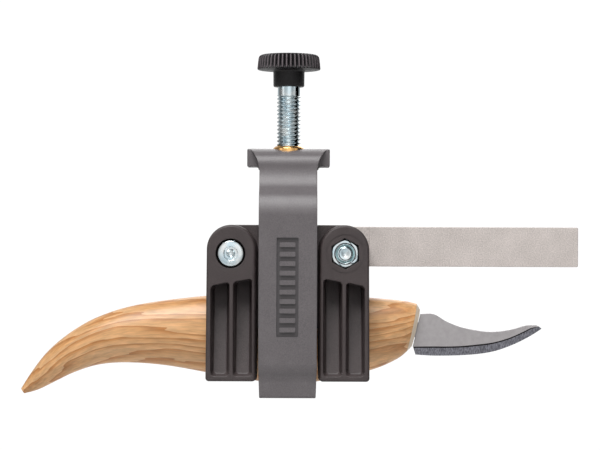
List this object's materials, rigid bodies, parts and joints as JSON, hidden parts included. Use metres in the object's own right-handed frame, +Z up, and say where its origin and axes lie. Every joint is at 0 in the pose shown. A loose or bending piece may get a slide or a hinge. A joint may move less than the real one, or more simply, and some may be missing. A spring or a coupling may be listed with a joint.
{
  "type": "small knife clamp with carving knife",
  "caption": "Screw clamp with moulded V jaws, a cast yoke and a flat steel tongue, holding a wooden-handled carving knife for sharpening.",
  "frame": {"origin": "middle of the front face of the tongue's exposed length", "axes": "+X along the tongue, away from the jaws; +Z up the clamp screw towards the knob; +Y away from the front, the side of the yoke's spine"},
  "size_m": [0.1812, 0.035, 0.1107],
  "materials": {
    "jaw_nylon": "fine-textured dark brown-black moulded nylon",
    "tongue_steel": "dull tumbled steel, warm grey",
    "zinc": "bright blue-white zinc plating",
    "lock_nylon": "translucent pale blue-green nylon",
    "seat_steel": "plain steel",
    "knob_plastic": "black moulded plastic with a soft sheen",
    "yoke_paint": "satin dark grey paint on a casting",
    "bush_brass": "turned brass",
    "handle_wood": "honey-coloured oiled wood, grain along the handle",
    "blade_steel": "grey blade with a ground bevel",
    "tang_resin": "amber resin"
  },
  "bodies": {
    "root": {"jaw_front": "jaw_nylon", "jaw_back": "jaw_nylon", "tongue": "tongue_steel", "bolt_left": "zinc", "bolt_right": "zinc", "nut_left": "zinc", "nut_right": "zinc", "lock_ring_left": "lock_nylon", "lock_ring_right": "lock_nylon", "screw_seat": "seat_steel"},
    "screw": {"clamp_screw": "zinc", "knob": "knob_plastic", "retaining_ring": "seat_steel"},
    "yoke": {"yoke": "yoke_paint", "threaded_bush": "bush_brass"},
    "knife": {"knife_handle": "handle_wood", "knife_blade": "blade_steel", "tang_resin": "tang_resin"}
  },
  "joints": [
    {"name": "screw_turn", "type": "hinge", "parent": "root", "child": "screw", "pos_m": [-0.0603, 0.0015, 0.00695], "axis": [0, 0, 1], "range_deg": [0, 2880]},
    {"name": "yoke_slide", "type": "slide", "parent": "root", "child": "yoke", "axis": [0, 0, 1], "range_m": [-0.01, 0]},
    {"name": "knife_slide", "type": "slide", "parent": "yoke", "child": "knife", "axis": [-1, 0, 0], "range_m": [0, 0.11]}
  ],
  "couplings": [
    {"joint": "screw_turn", "follows": "yoke_slide", "rad_per_m": -5026.5}
  ]
}
